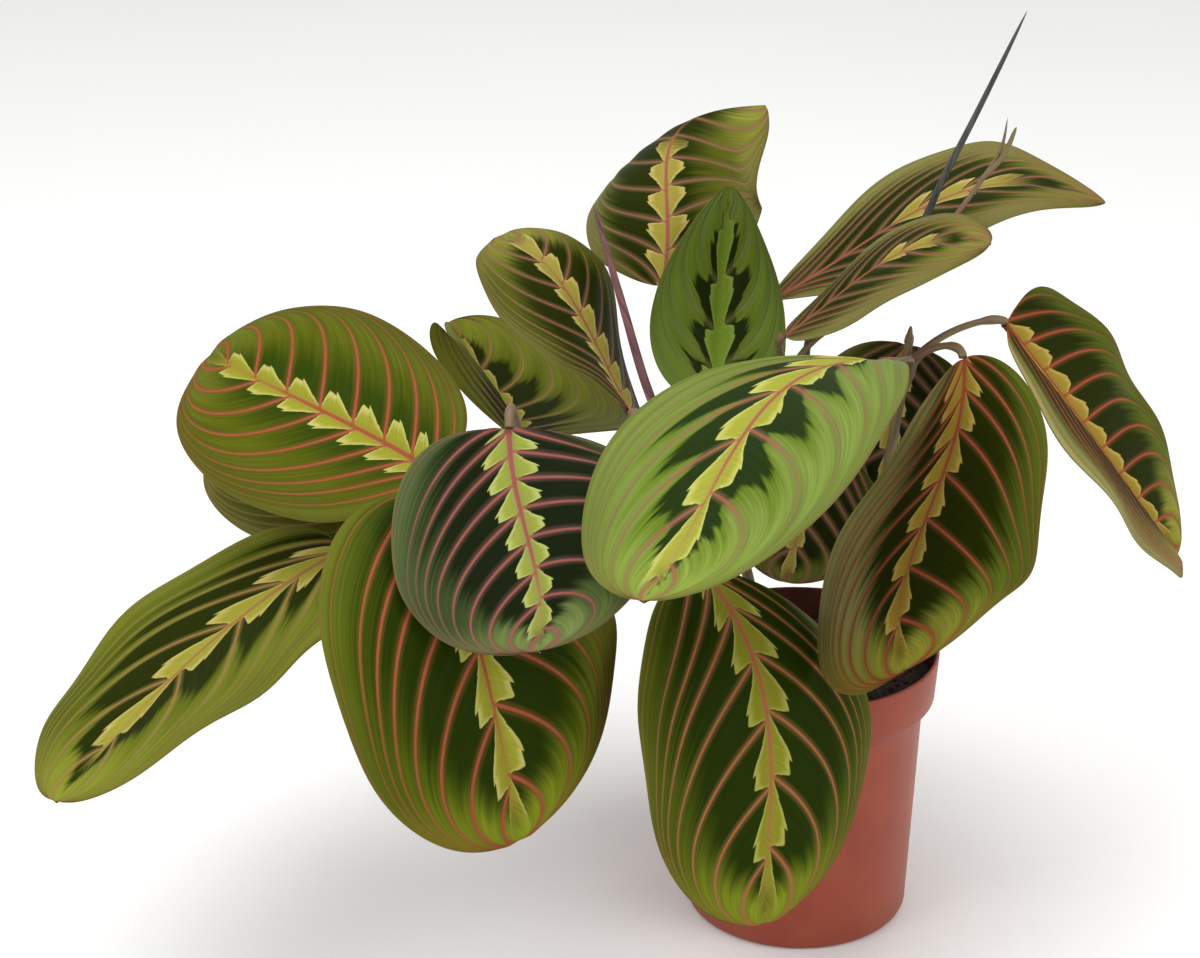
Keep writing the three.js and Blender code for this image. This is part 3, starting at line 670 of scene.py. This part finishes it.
def blade_surface(leaf, s, t):
    """Upper face before quilting, at s from base to tip and t from left edge (-1) to right (1).
    With the half's fold f and curl c and a = |t|, a point lies (sin f - sin(f - c a)) / c half
    widths beside the midrib and (cos(f - c a) - cos f) / c above it, plus a wave that grows with
    a^2."""
    controls, side = midrib_of(leaf)
    centre, along = cubic(controls, s)
    across = unit(side - along * (along @ side)[:, None])
    above = np.cross(across, along)
    turn = np.radians(leaf["roll"] + leaf["twist"] * (s - 0.5))[:, None]
    right = across * np.cos(turn) + above * np.sin(turn)
    up = above * np.cos(turn) - across * np.sin(turn)
    half = (t >= 0).astype(int)
    fold = np.radians(np.array(leaf["fold"])[half])
    curl = np.radians(np.array(leaf["curl"])[half]) + LEAST_CURL
    reach = np.abs(t)
    out = (np.sin(fold) - np.sin(fold - curl * reach)) / curl
    rise = (np.cos(fold - curl * reach) - np.cos(fold)) / curl
    half_width = half_width_of(leaf, s)[:, None]
    share = width_share(s, leaf["shape"])[:, None]
    phase = 2 * np.pi * leaf["waves"] * s[:, None] + np.array(WAVE_STARTS)[half]
    sideways = half_width * out * np.sign(t)
    upwards = half_width * rise + leaf["wave"] * reach ** 2 * np.sin(phase) * share
    return centre[:, None] + right[:, None] * sideways[..., None] + up[:, None] * upwards[..., None]


def facing(points):
    """Direction square to a grid of points, from the steps along its rows and columns."""
    return unit(np.cross(np.gradient(points, axis=1), np.gradient(points, axis=0)))


def vein_count(leaf, s, t, half):
    """How many side veins lie between the base and a point of one half. A vein that leaves the
    midrib at s0 nears the margin ever more slowly: 1 - |t| = exp((s0 - s) / sweep), so s0 follows
    from s and t. The count grows as a power of s0, started a little above 0, which crowds the
    veins near the base. Below 0 it dies away over a few veins that fan out of the base itself."""
    start = s + leaf["sweep"][half] * np.log(1.0 - VEIN_REACH * np.abs(t))
    power = leaf["crowd"]
    ahead = (np.maximum(start, 0.0) + VEIN_CROWDING) ** power - VEIN_CROWDING ** power
    steep = power * VEIN_CROWDING ** (power - 1.0)
    behind = FAN * (1.0 - np.exp(np.minimum(start, 0.0) * steep * leaf["veins"] / FAN))
    return leaf["veins"] * ahead - behind + HALF_SHIFT[half]


def spacing(points, count):
    """Millimetres from one vein to the next, square to them: 1 over the slope of the count on the
    surface."""
    down, over = np.gradient(points, axis=0), np.gradient(points, axis=1)
    count_down, count_over = np.gradient(count, axis=0), np.gradient(count, axis=1)
    e, f, g = (down * down).sum(-1), (down * over).sum(-1), (over * over).sum(-1)
    steep = count_down ** 2 * g - 2 * count_down * count_over * f + count_over ** 2 * e
    return np.clip(np.sqrt(np.maximum(e * g - f * f, 1e-9) / np.maximum(steep, 1e-12)), 1.0, 60.0)


def sheet_faces(rows, columns):
    """Quads of a closed sheet: an upper grid, the same grid turned over below it, and a rim."""
    grid = np.arange(rows * columns).reshape(rows, columns)
    upper = np.stack((grid[:-1, :-1], grid[:-1, 1:], grid[1:, 1:], grid[1:, :-1]), -1)
    upper = upper.reshape(-1, 4)
    lower = upper[:, ::-1] + rows * columns
    loop = np.concatenate((grid[0, :-1], grid[:-1, -1], grid[-1, :0:-1], grid[:0:-1, 0]))
    after = np.roll(loop, -1)
    rim = np.stack((loop, loop + rows * columns, after + rows * columns, after), -1)
    return upper, lower, rim


def lay_seat(mesh, places):
    """Stores the two numbers that say where on its piece each corner of each face lies."""
    layer = mesh.uv_layers.new(name="seat")
    layer.data.foreach_set("uv", places.astype(np.float32).ravel())


def leaf_skin(leaf, seed):
    """Finish of a blade: dark cells between the side veins, feathered where they meet the lighter
    green, a jagged yellow-green band with a red midrib, and red side veins that pale at the
    margin. The underside is dull, with darker veins. It reads each point's seat (s, t), and from
    veins the count, the spacing and the distance to the midrib."""
    paint = {part: tone(code) for part, code in leaf["paint"].items() if isinstance(code, str)}

    def build(wire):
        seat = wire.node("UVMap", {"uv_map": "seat"})
        s, t, _ = seat.parts()
        count, gap, beside = wire.node("Attribute", {"attribute_name": "veins"}, None, 1).parts()
        under = wire.node("Attribute", {"attribute_name": "under"}, None, 2)
        reach = abs(t * 2.0 - 1.0)
        cell = count.rest()
        near = cell.least(1.0 - cell) * gap
        streak = wire.speckle(wire.vector(count * 7.0, reach * 1.1, seed), 1.0, 3.0)
        fine = wire.speckle(wire.vector(count * 26.0, reach * 2.0, seed + 3.0), 1.0, 2.0)
        cloud = wire.speckle(wire.vector(s * 3.0, t * 3.0, seed + 7.0), 1.0, 2.0)
        jag = wire.speckle(wire.vector(count * 4.0, beside * 0.25, seed + 9.0), 1.0, 1.0)

        pinch = (cell * 2.0 - 1.0) ** 2 * reach.step(0.05, 0.4) * leaf["paint"]["pinch"]
        ragged = reach + (streak - 0.5) * leaf["paint"]["ragged"] + (cloud - 0.5) * 0.2 + pinch
        right = t.step(0.499, 0.501)
        dark_left, dark_right = leaf["reach"]
        pale_left, pale_right = leaf["light"]
        ending = (dark_left + (dark_right - dark_left) * right) * (1.0 - s ** 5 * 1.15)
        pale_from = pale_left + (pale_right - pale_left) * right
        soft = leaf["paint"]["soft"]
        outside = (ragged - ending + soft * 0.3).step(-soft, soft)
        side_green = (ragged - pale_from).step(0.0, 0.42).blend(paint["body"], paint["margin"])
        green = (s + (streak - 0.5) * 0.2).step(0.74, 0.98).blend(side_green, paint["tip"])
        middle = (0.66 + fine * 0.48 + cloud * 0.25).shade(green)
        patched = outside.blend(paint["cell"], middle)
        streaked = (0.75 + fine * 0.5).shade(patched)

        tooth = (cell / TOOTH_PEAK).least((1.0 - cell) / (1.0 - TOOTH_PEAK)).step(-0.1, 0.85)
        small_tooth = (cell * 3.0 + 0.3).rest()
        first, last = leaf["first"], leaf["last"]
        width = s.step(first - 0.04, first + 0.1) * (1.0 - s * BAND_TAPER) * leaf["band"]
        serrated = 1.0 - SMALL_NOTCH + small_tooth * SMALL_NOTCH
        lobe = leaf["notch"] + tooth ** 1.25 * (1.0 - leaf["notch"]) * serrated
        edge = width * (lobe + (jag - 0.5) * BAND_RAGGED)
        inside = 1.0 - (beside - edge).step(-0.3, 0.35)
        band = inside * (1.0 - (s + (fine - 0.5) * 0.2).step(last - 0.14, last))
        pale_edge = (beside / edge.most(0.2)).step(0.55, 0.95) * (0.4 + cloud * 0.6)
        warm = (1.0 - beside.step(0.6, 3.6)) * 0.3 * leaf["red"]
        yellow = pale_edge.blend(paint["band"], paint["band_edge"])
        band_paint = warm.blend(yellow, paint["vein_end"])
        # Painted shade: the cells are darkened beside each side vein, where the quilted blade dips
        vein_side_painted_shade = 1.0 - (1.0 - near.step(0.2, 3.2)) * 0.28
        banded = band.blend(vein_side_painted_shade.shade(streaked), (0.72 + fine * 0.5).shade(band_paint))

        thin = leaf["vein"] * (1.0 - reach * 0.45)
        vein = 1.0 - (near - thin).step(-0.2, 0.22)
        flush = 1.0 - (near - thin * 2.8).step(-1.0, 1.0)
        flushed = flush * (1.0 - band) * (1.0 - reach.step(0.5, 0.95)) * 0.28
        haloed = flushed.blend(banded, paint["vein_end"])
        fade = 1.0 - ragged.step(0.7, 1.05) * 0.72
        side_veins = vein * fade * (1.0 - band * 0.15) * (0.15 + 0.85 * leaf["red"])
        midrib_red = min(1.0, 1.6 * leaf["red"])
        vein_tint = (reach.step(0.4, 1.1) * 0.75).blend(paint["vein"], paint["vein_end"])
        veined = side_veins.blend(haloed, vein_tint)
        midrib_width = 0.95 - s * 0.6
        midrib = (1.0 - (beside - midrib_width).step(-0.25, 0.3)) * (1.0 - s.step(0.5, 0.9))
        ribbed = (midrib * midrib_red).blend(veined, paint["vein"])
        edged = (reach.step(0.975, 0.995) * 0.45).blend(ribbed, tone(MARGIN_LINE))

        back = (0.75 + fine * 0.5).shade((cloud * 0.6).blend(paint["back"], paint["back_vein"]))
        back_vein = (1.0 - (near - thin * 1.5).step(-0.3, 0.4)) * 0.6
        back_lined = back_vein.blend(back, paint["back_rib"])
        back_ribbed = (1.0 - (beside - 1.1).step(-0.5, 0.5)).blend(back_lined, paint["back_rib"])
        colour = under.blend(edged, back_ribbed)
        rough = 0.44 + (streak - 0.5) * 0.16 + under * 0.12 + band * 0.05
        relief = fine * 0.5 + streak * 0.5 - vein * 0.7
        return colour, rough, relief, 0.00022

    return build


rows = (1.0 - np.cos(np.pi * np.arange(BLADE_ROWS + 1) / BLADE_ROWS)) / 2.0
half_columns = np.sin(0.5 * np.pi * np.arange(HALF_COLUMNS + 1) / HALF_COLUMNS)
half_columns = 0.5 * half_columns + 0.5 * np.linspace(0.0, 1.0, HALF_COLUMNS + 1)
columns = np.concatenate((-half_columns[:0:-1], half_columns))
upper_faces, lower_faces, rim_faces = sheet_faces(len(rows), len(columns))
blade_faces = np.concatenate((upper_faces, lower_faces, rim_faces))
grid_size = len(rows) * len(columns)
face_column = ((blade_faces % grid_size) % len(columns)).mean(axis=1)
right_faces = face_column > HALF_COLUMNS
underneath = np.concatenate((
    np.zeros(len(upper_faces)), np.ones(len(lower_faces)), np.zeros(len(rim_faces)),
))

for seed, (node, leaf) in enumerate(LEAVES.items()):
    flat = blade_surface(leaf, rows, columns)
    s, t = np.meshgrid(rows, columns, indexing="ij")
    reach = np.abs(t)
    half_width = half_width_of(leaf, rows)[:, None]
    beside = reach * half_width
    counts = [vein_count(leaf, s, t, half) for half in (0, 1)]
    count = np.where(t >= 0, counts[1], counts[0])
    inner = np.clip(beside / QUILT_FULL_AT, 0.0, 1.0) ** 2
    outer = np.clip((1.0 - reach) / QUILT_FADES_OVER, 0.0, 1.0)
    quilt = QUILT * inner * outer * np.sin(np.pi * (count % 1.0)) ** QUILT_ROUNDNESS
    groove = GROOVE * np.exp(-((beside / GROOVE_WIDTH) ** 2)) * (1.0 - GROOVE_TAPER * s)
    up = facing(flat)
    top = flat + up * (quilt - groove)[..., None]
    rib = RIB_DEPTH * (1.0 - RIB_TAPER * s) * np.exp(-((beside / RIB_WIDTH) ** 2))
    thick = MIDDLE_THICKNESS + (MARGIN_THICKNESS - MIDDLE_THICKNESS) * reach + rib
    bottom = top - up * thick[..., None]
    points = np.concatenate((top.reshape(-1, 3), bottom.reshape(-1, 3)))
    shine = leaf["paint"]["shine"]
    skin = finish_of(node + "_skin", leaf_skin(leaf, 10.0 * seed), Specular_IOR_Level=shine)
    mesh = new_piece(node + "_blade", points, blade_faces, skin, [node]).data
    on_grid = blade_faces % grid_size
    lay_seat(mesh, np.stack((s.ravel()[on_grid], 0.5 + 0.5 * t.ravel()[on_grid]), -1))
    pattern = []
    for side_count in counts:
        gap = spacing(flat, side_count)
        lifted = side_count + COUNT_LIFT
        pattern.append(np.stack((lifted, gap, beside), -1).reshape(-1, 3)[on_grid])
    values = np.where(right_faces[:, None, None], pattern[1], pattern[0])
    layer = mesh.attributes.new("veins", "FLOAT_VECTOR", "CORNER")
    layer.data.foreach_set("vector", values.astype(np.float32).ravel())
    layer = mesh.attributes.new("under", "FLOAT", "FACE")
    layer.data.foreach_set("value", underneath.astype(np.float32))


# Stems and leaf stalks: each stem rises out of the soil and bends outwards. A stalk leaves it
# inside a short sheath, arches to its blade and ends in a swollen joint. They are smooth and
# juicy, brownish green with purple streaks. In millimetres; knots and sheaths as shares of the
# radius.
STEM_DEPTH = 13.0
STEM_STARTS = (
    SOIL_WALL[0][1] - STEM_DEPTH, SOIL_WALL[0][1] - STEM_DEPTH / 3.0, SOIL_MOUND[1][0] + 1.0,
    SOIL_MOUND[1][0] + 6.0,
)
STEM_RADII = (2.6, 1.7)
STALK_RADII = (1.5, 1.15)
JOINT_RADIUS = 1.75
JOINT_LENGTH = 10.0
JOINT_FADE = 0.75
STALK_GAP = 0.3
SHEATH = 0.3
KNOT = 0.22
KNOT_SHARPNESS = 45.0
POINT_RADIUS = 0.3
BAR_SIDES = 20
STEM_RINGS = 90
STALK_RINGS = 70
CURVE_STEPS = 40
WAY_STEPS = 400
STALK_STEPS = 200

# Each stem: its foot in the soil, the points that it grows through, its sprigs as (points, radius)
# and, for each leaf, how far up the stem its stalk leaves
STEMS = {
    "stem_left": dict(
        foot=(-24, -6), path=[(-42, -10, 128), (-73, -18, 158), (-104, -24, 176), (-126, -28, 186)],
        sprigs=[], leaves=dict(
            leaf_left_round=0.93, leaf_left_under=0.86, leaf_far_left=0.97,
            leaf_front_left=0.9, leaf_dark_round=0.7, leaf_small_left=0.62,
        ),
    ),
    "stem_centre": dict(
        foot=(-18, 12), path=[(-20, 12, 130), (-29, 14, 160), (-38, 16, 184)], sprigs=[],
        leaves=dict(leaf_upper_left=0.8, leaf_young_upright=0.96, leaf_top=0.9),
    ),
    "stem_upper_right": dict(
        foot=(15, 20), path=[(13, 22, 140), (4, 26, 175), (-2, 30, 200)],
        sprigs=[
            ([(2, 27, 186), (-7, 17, 209), (-1, 1, 232), (17, -3, 249), (37, -2, 266),
              (50, 7, 278), (56, 9, 286), (67, 9, 305), (69, 9, 317)], 1.1),
            ([(61, 9, 294), (68, 8, 303), (72, 7, 314)], 0.9),
        ],
        leaves=dict(leaf_upper_right=0.95, leaf_lower_right=0.85),
    ),
    "stem_right": dict(
        foot=(17, -6), path=[(20, -5, 130), (28, -4, 170), (33, -7, 215), (37, -9, 232)],
        sprigs=[([(34, -7, 222), (35, -5, 233), (36, -4, 242)], 1.5)],
        leaves=dict(
            leaf_bright_front=0.93, leaf_right_big=0.97, leaf_far_right=0.95,
            leaf_shaded_right=0.72, leaf_shaded_low=0.42,
        ),
    ),
    "stem_front": dict(
        foot=(-16, -22), path=[(-20, -28, 122), (-26, -36, 140)], sprigs=[],
        leaves=dict(leaf_over_pot=0.9),
    ),
    "stem_back": dict(
        foot=(-24, 28), path=[(-25, 32, 125), (-26, 36, 145)], sprigs=[],
        leaves=dict(leaf_back_left=0.85, leaf_back_right=0.9),
    ),
}


def run_along(path):
    """How far along a path each of its points lies."""
    return np.concatenate(([0.0], np.cumsum(np.linalg.norm(np.diff(path, axis=0), axis=1))))


def evenly(path, count):
    """The given number of points along a path, at even steps of its length."""
    run = run_along(path)
    at = np.linspace(0.0, run[-1], count)
    return np.stack([np.interp(at, run, path[:, axis]) for axis in range(3)], -1)


def grown(points):
    """A smooth way through all the points: a cubic between each two, whose slopes follow from the
    square roots of the distances to the neighbours. The ends go on straight."""
    p = np.array(points, dtype=float)
    p = np.concatenate(([2 * p[0] - p[1]], p, [2 * p[-1] - p[-2]]))
    gap = np.sqrt(np.linalg.norm(np.diff(p, axis=0), axis=1))[:, None]
    before, here, after = gap[:-2], gap[1:-1], gap[2:]
    a, b, c, d = p[:-3], p[1:-2], p[2:-1], p[3:]
    leave = here * ((b - a) / before - (c - a) / (before + here) + (c - b) / here)
    arrive = here * ((c - b) / here - (d - b) / (here + after) + (d - c) / after)
    u = np.linspace(0.0, 1.0, CURVE_STEPS, endpoint=False)[None, :, None]
    b, c, leave, arrive = b[:, None], c[:, None], leave[:, None], arrive[:, None]
    curve = b + leave * u + (3 * (c - b) - 2 * leave - arrive) * u ** 2
    curve = curve + (2 * (b - c) + leave + arrive) * u ** 3
    return evenly(np.concatenate((curve.reshape(-1, 3), p[-2:-1])), WAY_STEPS)


def round_bar(path, radii):
    """A bar round a path: each ring is a circle square to the path, started across the plane that
    the path lies nearest to, and flat ends close it. Gives points, quads, end triangles, and the
    place of each corner as (share round, length)."""
    heading = unit(np.gradient(path, axis=0))
    level = np.linalg.svd(path - path.mean(axis=0))[2][2]
    side = unit(np.cross(heading, level))
    other = np.cross(heading, side)
    angle = np.arange(BAR_SIDES) * 2.0 * np.pi / BAR_SIDES
    ring = side[:, None] * np.cos(angle)[:, None] + other[:, None] * np.sin(angle)[:, None]
    rings = path[:, None] + np.asarray(radii)[:, None, None] * ring
    count = len(path)
    points = np.concatenate((rings.reshape(-1, 3), path[:1], path[-1:]))
    quads = turned_faces(count, BAR_SIDES)[:, [0, 3, 2, 1]]
    edge = np.arange(BAR_SIDES)
    after = (edge + 1) % BAR_SIDES
    last = (count - 1) * BAR_SIDES
    start = np.stack((np.full(BAR_SIDES, len(points) - 2), after, edge), -1)
    end = np.stack((np.full(BAR_SIDES, len(points) - 1), last + edge, last + after), -1)
    row, column = np.meshgrid(np.arange(count - 1), np.arange(BAR_SIDES), indexing="ij")
    round_share = np.stack((column, column + 1, column + 1, column), -1).reshape(-1, 4) / BAR_SIDES
    length = run_along(path)[np.stack((row, row, row + 1, row + 1), -1).reshape(-1, 4)]
    ends = np.zeros((2 * BAR_SIDES, 3, 2))
    return points, quads, np.concatenate((start, end)), np.stack((round_share, length), -1), ends


def bundle(name, bars, material, node):
    """One piece from several bars, each (path, radii)."""
    points, quads, ends, seats, end_seats = [], [], [], [], []
    used = 0
    for path, radii in bars:
        bar_points, bar_quads, bar_ends, seat, end_seat = round_bar(path, radii)
        points.append(bar_points)
        quads.append(bar_quads + used)
        ends.append(bar_ends + used)
        seats.append(seat.reshape(-1, 2))
        end_seats.append(end_seat.reshape(-1, 2))
        used += len(bar_points)
    faces = np.concatenate(quads).tolist() + np.concatenate(ends).tolist()
    piece = new_piece(
        name, np.concatenate(points), np.array(faces, dtype=object), material, [node],
    )
    lay_seat(piece.data, np.concatenate(seats + end_seats))


def stalk_skin(wire):
    """Smooth skin: brownish green, purple in cloudy patches, with fine lengthwise streaks,
    paler lines and small dark dots."""
    where = wire.node("TexCoord", None, None, 3)
    around, length, _ = wire.node("UVMap", {"uv_map": "seat"}).parts()
    streak = wire.speckle(wire.vector((around * 6.283).wave() * 4.0, length * 0.03, 0.0), 2.0, 3.0)
    cloud = wire.speckle(where, 45.0)
    dots = wire.speckle(where, 700.0, 1.0).step(0.68, 0.76)
    body = (streak * 0.6 + cloud * 0.6).step(0.45, 0.8).blend(tone("6b6034"), tone("6a4038"))
    lined = (streak.step(0.55, 0.75) * 0.4).blend(body, tone("8f7b52"))
    colour = (dots * 0.4).blend(lined, tone("3f2a22"))
    return colour, 0.42 + cloud * 0.14, streak + cloud * 0.5, 0.00015


def thin_point(u, radius):
    """Radius of a pointed bar: (1-u)^0.6 (0.75+u) radii, which swells a little and then narrows,
    plus a fine core that closes at the very tip."""
    return radius * (1 - u) ** 0.6 * (0.75 + u) + POINT_RADIUS * (1 - u ** 30)


stalk_finish = finish_of("stalk_skin", stalk_skin, Coat_Weight=0.1, Coat_Roughness=0.35)
for node, stem in STEMS.items():
    x, y = stem["foot"]
    way = grown([(x, y, z) for z in STEM_STARTS] + stem["path"])
    share = np.linspace(0.0, 1.0, STEM_RINGS)
    swell = [np.exp(-((share - at) * KNOT_SHARPNESS) ** 2) for at in stem["leaves"].values()]
    knots = 1.0 + KNOT * sum(swell)
    bars = [(evenly(way, STEM_RINGS), np.interp(share, (0.0, 1.0), STEM_RADII) * knots)]
    for leaf_name, at in stem["leaves"].items():
        index = int(round(at * (len(way) - 1)))
        start, along = way[index], unit(way[index + 1] - way[index - 1])
        controls, _ = midrib_of(LEAVES[leaf_name])
        heading = unit(controls[1] - controls[0])
        end = controls[0] - heading * STALK_GAP
        distance = np.linalg.norm(end - start)
        leave, arrive = LEAVES[leaf_name]["stalk"]
        bend = [start, start + along * distance * leave, end - heading * distance * arrive, end]
        stalk = evenly(cubic(bend, np.linspace(0.0, 1.0, STALK_STEPS))[0], STALK_RINGS)
        length = np.linalg.norm(np.diff(stalk, axis=0), axis=1).sum()
        u = np.linspace(0.0, 1.0, STALK_RINGS)
        joint = np.maximum(0.0, 1.0 - (1.0 - u) * length / JOINT_LENGTH)
        bulge = np.sin(np.pi * np.minimum(joint, JOINT_FADE))
        sheath = 1.0 + SHEATH * np.clip(1.0 - u * 3.0, 0.0, 1.0)
        plain = np.interp(u, (0.0, 1.0), STALK_RADII) * sheath
        bars.append((stalk, plain + (JOINT_RADIUS - plain) * bulge))
    for points, radius in stem["sprigs"]:
        u = np.linspace(0.0, 1.0, STEM_RINGS)
        bars.append((evenly(grown(points), STEM_RINGS), thin_point(u, radius)))
    bundle(node + "_and_stalks", bars, stalk_finish, node)


# Rolled shoots: the newest leaves, each still wound into a tight tapering roll with the edge of the
# blade winding up it as a fine line. One is purple-brown, the long one nearly black. In
# millimetres.
SHOOT_RINGS = 150
SEAM_PITCH = 34.0
SHOOTS = {
    "shoot_brown": dict(
        path=[(-33, 10.5, 169), (-40, 0, 186), (-53, -15, 205), (-60, -18, 222), (-70, -14, 256),
              (-80, -8, 290)],
        radius=1.7, light="774a48", dark="4c2730",
    ),
    "shoot_spike": dict(
        path=[(4.4, 30, 192), (3, 30, 204), (0, 21, 221), (2, 9, 236), (15, 4, 249), (32, 4, 264),
              (41, 11, 278), (46, 9, 292), (59, 8, 322), (74, 10, 356)],
        radius=1.3, light="46453c", dark="211f21",
    ),
}


def rolled_skin(light, dark):
    """Skin of a rolled blade: a line winds up it, with streaks along the roll."""
    def build(wire):
        where = wire.node("TexCoord", None, None, 3)
        around, length, _ = wire.node("UVMap", {"uv_map": "seat"}).parts()
        winding = (around + length / SEAM_PITCH).rest()
        seam = 1.0 - abs(winding - 0.5).step(0.02, 0.07)
        streak = wire.speckle(wire.vector(winding * 9.0, length * 0.05, 0.0), 1.0, 3.0)
        cloud = wire.speckle(where, 60.0)
        body = (streak * 0.7 + cloud * 0.4).step(0.35, 0.75).blend(tone(dark), tone(light))
        colour = (seam * 0.6).blend(body, tone(dark))
        return colour, 0.4 + cloud * 0.12, streak * 0.6 - seam, 0.0002
    return build


for node, shoot in SHOOTS.items():
    u = np.linspace(0.0, 1.0, SHOOT_RINGS)
    bar = (evenly(grown(shoot["path"]), SHOOT_RINGS), thin_point(u, shoot["radius"]))
    skin = finish_of(node + "_skin", rolled_skin(shoot["light"], shoot["dark"]))
    bundle(node + "_roll", [bar], skin, node)
